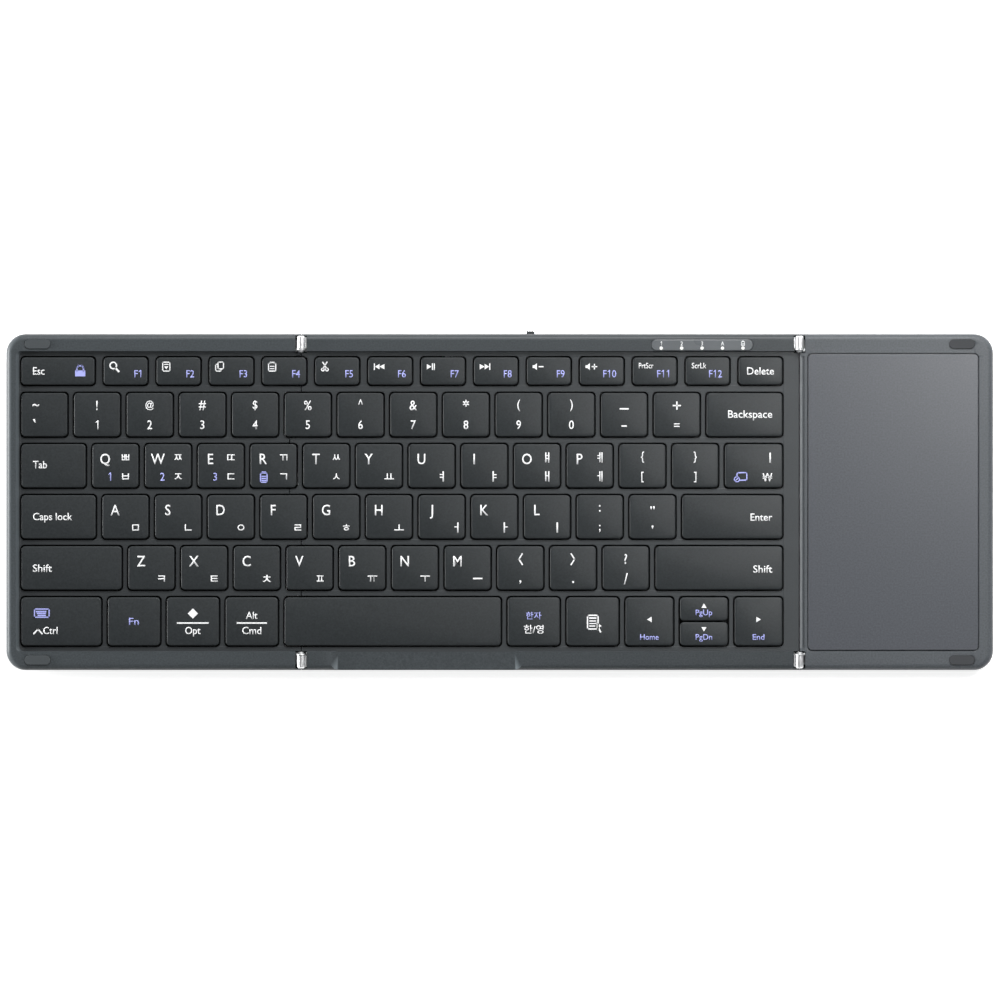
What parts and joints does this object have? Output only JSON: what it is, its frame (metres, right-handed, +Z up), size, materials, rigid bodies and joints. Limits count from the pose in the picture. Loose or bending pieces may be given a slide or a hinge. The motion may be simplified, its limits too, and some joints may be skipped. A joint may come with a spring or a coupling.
{
  "type": "folding keyboard with touchpad",
  "caption": "Slim three-panel folding keyboard: a key wing and a touchpad wing fold up and over onto the middle panel on pin hinges.",
  "frame": {"origin": "centre of the open keyboard's outline, on the surface that its rubber feet stand on", "axes": "+X to the typist's right along the rows of keys, +Y to the rear, +Z up out of the keys"},
  "size_m": [0.29, 0.0998, 0.0105],
  "materials": {
    "keycap_plastic": "satin moulded keycap",
    "cover_plastic": "satin moulded cover",
    "frame_plastic": "satin moulded frame",
    "touchpad_frame_plastic": "satin moulded frame",
    "plate_steel": "stamped sheet",
    "membrane_film": "printed film",
    "scissor_plastic": "natural moulding",
    "dome_rubber": "soft silicone",
    "foot_rubber": "matte rubber",
    "screw_steel": "plain steel",
    "hinge_metal": "polished silver",
    "cell_pouch": "foil pouch",
    "circuit_board": "lacquered laminate",
    "socket_steel": "drawn steel shell",
    "knob_plastic": "ridged knob",
    "window_plastic": "smoked clear plastic",
    "touchpad_surface": "fine satin surface",
    "flex_film": "amber film"
  },
  "bodies": {
    "middle_panel": {"middle_bottom_cover": "cover_plastic", "middle_top_frame": "frame_plastic", "middle_support_plate": "plate_steel", "middle_membrane": "membrane_film", "middle_scissors": "scissor_plastic", "middle_domes": "dome_rubber", "battery_cell": "cell_pouch", "control_board": "circuit_board", "charging_socket": "socket_steel", "power_switch_housing": "socket_steel", "indicator_lights": "circuit_board", "indicator_window": "window_plastic", "middle_feet": "foot_rubber", "middle_screws": "screw_steel", "hinge_barrels": "hinge_metal", "hinge_pins": "screw_steel", "left_flex_cable": "flex_film", "right_flex_cable": "flex_film"},
    "left_wing": {"left_bottom_cover": "cover_plastic", "left_top_frame": "frame_plastic", "left_support_plate": "plate_steel", "left_membrane": "membrane_film", "left_scissors": "scissor_plastic", "left_domes": "dome_rubber", "left_feet": "foot_rubber", "left_screws": "screw_steel", "left_bumpers": "foot_rubber", "left_hinge_leaves": "hinge_metal"},
    "right_wing": {"right_bottom_cover": "cover_plastic", "right_top_frame": "touchpad_frame_plastic", "touchpad_plate": "touchpad_surface", "touchpad_board": "circuit_board", "right_feet": "foot_rubber", "right_screws": "screw_steel", "right_bumpers": "foot_rubber", "right_hinge_leaves": "hinge_metal"},
    "power_switch": {"power_switch_knob": "knob_plastic"},
    "esc_key": {"esc_key": "keycap_plastic"},
    "function_keys_left": {"function_keys_left": "keycap_plastic"},
    "function_keys_middle": {"function_keys_middle": "keycap_plastic"},
    "delete_key": {"delete_key": "keycap_plastic"},
    "number_keys_left": {"number_keys_left": "keycap_plastic"},
    "number_keys_middle": {"number_keys_middle": "keycap_plastic"},
    "backspace_key": {"backspace_key": "keycap_plastic"},
    "tab_key": {"tab_key": "keycap_plastic"},
    "q_row_keys_left": {"q_row_keys_left": "keycap_plastic"},
    "q_row_keys_middle": {"q_row_keys_middle": "keycap_plastic"},
    "backslash_key": {"backslash_key": "keycap_plastic"},
    "caps_lock_key": {"caps_lock_key": "keycap_plastic"},
    "a_row_keys_left": {"a_row_keys_left": "keycap_plastic"},
    "a_row_keys_middle": {"a_row_keys_middle": "keycap_plastic"},
    "enter_key": {"enter_key": "keycap_plastic"},
    "left_shift_key": {"left_shift_key": "keycap_plastic"},
    "z_row_keys_left": {"z_row_keys_left": "keycap_plastic"},
    "z_row_keys_middle": {"z_row_keys_middle": "keycap_plastic"},
    "right_shift_key": {"right_shift_key": "keycap_plastic"},
    "modifier_keys_left": {"modifier_keys_left": "keycap_plastic"},
    "space_bar": {"space_bar": "keycap_plastic"},
    "modifier_keys_middle": {"modifier_keys_middle": "keycap_plastic"},
    "arrow_keys": {"arrow_keys": "keycap_plastic"}
  },
  "joints": [
    {"name": "left_fold", "type": "hinge", "parent": "middle_panel", "child": "left_wing", "pos_m": [-0.05835, 0, 0.0092], "axis": [0, 1, 0], "range_deg": [0, 180], "deforming": ["left_flex_cable"]},
    {"name": "right_fold", "type": "hinge", "parent": "middle_panel", "child": "right_wing", "pos_m": [0.088, 0, 0.0092], "axis": [0, -1, 0], "range_deg": [0, 180], "deforming": ["right_flex_cable"]},
    {"name": "power_slide", "type": "slide", "parent": "middle_panel", "child": "power_switch", "axis": [1, 0, 0], "range_m": [0, 0.002]},
    {"name": "esc_press", "type": "slide", "parent": "left_wing", "child": "esc_key", "axis": [0, 0, -1], "range_m": [0, 0.0014], "stiffness_N_per_m": 300, "springref_m": -0.0004},
    {"name": "function_left_press", "type": "slide", "parent": "left_wing", "child": "function_keys_left", "axis": [0, 0, -1], "range_m": [0, 0.0014], "stiffness_N_per_m": 1200, "springref_m": -0.0004},
    {"name": "function_middle_press", "type": "slide", "parent": "middle_panel", "child": "function_keys_middle", "axis": [0, 0, -1], "range_m": [0, 0.0014], "stiffness_N_per_m": 2400, "springref_m": -0.0004},
    {"name": "delete_press", "type": "slide", "parent": "middle_panel", "child": "delete_key", "axis": [0, 0, -1], "range_m": [0, 0.0014], "stiffness_N_per_m": 300, "springref_m": -0.0004},
    {"name": "number_left_press", "type": "slide", "parent": "left_wing", "child": "number_keys_left", "axis": [0, 0, -1], "range_m": [0, 0.0014], "stiffness_N_per_m": 1500, "springref_m": -0.0004},
    {"name": "number_middle_press", "type": "slide", "parent": "middle_panel", "child": "number_keys_middle", "axis": [0, 0, -1], "range_m": [0, 0.0014], "stiffness_N_per_m": 2400, "springref_m": -0.0004},
    {"name": "backspace_press", "type": "slide", "parent": "middle_panel", "child": "backspace_key", "axis": [0, 0, -1], "range_m": [0, 0.0014], "stiffness_N_per_m": 300, "springref_m": -0.0004},
    {"name": "tab_press", "type": "slide", "parent": "left_wing", "child": "tab_key", "axis": [0, 0, -1], "range_m": [0, 0.0014], "stiffness_N_per_m": 300, "springref_m": -0.0004},
    {"name": "q_row_left_press", "type": "slide", "parent": "left_wing", "child": "q_row_keys_left", "axis": [0, 0, -1], "range_m": [0, 0.0014], "stiffness_N_per_m": 1200, "springref_m": -0.0004},
    {"name": "q_row_middle_press", "type": "slide", "parent": "middle_panel", "child": "q_row_keys_middle", "axis": [0, 0, -1], "range_m": [0, 0.0014], "stiffness_N_per_m": 2400, "springref_m": -0.0004},
    {"name": "backslash_press", "type": "slide", "parent": "middle_panel", "child": "backslash_key", "axis": [0, 0, -1], "range_m": [0, 0.0014], "stiffness_N_per_m": 300, "springref_m": -0.0004},
    {"name": "caps_lock_press", "type": "slide", "parent": "left_wing", "child": "caps_lock_key", "axis": [0, 0, -1], "range_m": [0, 0.0014], "stiffness_N_per_m": 300, "springref_m": -0.0004},
    {"name": "a_row_left_press", "type": "slide", "parent": "left_wing", "child": "a_row_keys_left", "axis": [0, 0, -1], "range_m": [0, 0.0014], "stiffness_N_per_m": 1200, "springref_m": -0.0004, "deforming": ["left_scissors", "left_domes"]},
    {"name": "a_row_middle_press", "type": "slide", "parent": "middle_panel", "child": "a_row_keys_middle", "axis": [0, 0, -1], "range_m": [0, 0.0014], "stiffness_N_per_m": 2100, "springref_m": -0.0004},
    {"name": "enter_press", "type": "slide", "parent": "middle_panel", "child": "enter_key", "axis": [0, 0, -1], "range_m": [0, 0.0014], "stiffness_N_per_m": 300, "springref_m": -0.0004},
    {"name": "left_shift_press", "type": "slide", "parent": "left_wing", "child": "left_shift_key", "axis": [0, 0, -1], "range_m": [0, 0.0014], "stiffness_N_per_m": 300, "springref_m": -0.0004},
    {"name": "z_row_left_press", "type": "slide", "parent": "left_wing", "child": "z_row_keys_left", "axis": [0, 0, -1], "range_m": [0, 0.0014], "stiffness_N_per_m": 900, "springref_m": -0.0004},
    {"name": "z_row_middle_press", "type": "slide", "parent": "middle_panel", "child": "z_row_keys_middle", "axis": [0, 0, -1], "range_m": [0, 0.0014], "stiffness_N_per_m": 2100, "springref_m": -0.0004},
    {"name": "right_shift_press", "type": "slide", "parent": "middle_panel", "child": "right_shift_key", "axis": [0, 0, -1], "range_m": [0, 0.0014], "stiffness_N_per_m": 300, "springref_m": -0.0004},
    {"name": "modifier_left_press", "type": "slide", "parent": "left_wing", "child": "modifier_keys_left", "axis": [0, 0, -1], "range_m": [0, 0.0014], "stiffness_N_per_m": 1200, "springref_m": -0.0004},
    {"name": "space_bar_press", "type": "slide", "parent": "middle_panel", "child": "space_bar", "axis": [0, 0, -1], "range_m": [0, 0.0014], "stiffness_N_per_m": 300, "springref_m": -0.0004, "deforming": ["middle_scissors", "middle_domes"]},
    {"name": "modifier_middle_press", "type": "slide", "parent": "middle_panel", "child": "modifier_keys_middle", "axis": [0, 0, -1], "range_m": [0, 0.0014], "stiffness_N_per_m": 600, "springref_m": -0.0004},
    {"name": "arrow_press", "type": "slide", "parent": "middle_panel", "child": "arrow_keys", "axis": [0, 0, -1], "range_m": [0, 0.0014], "stiffness_N_per_m": 1200, "springref_m": -0.0004}
  ]
}
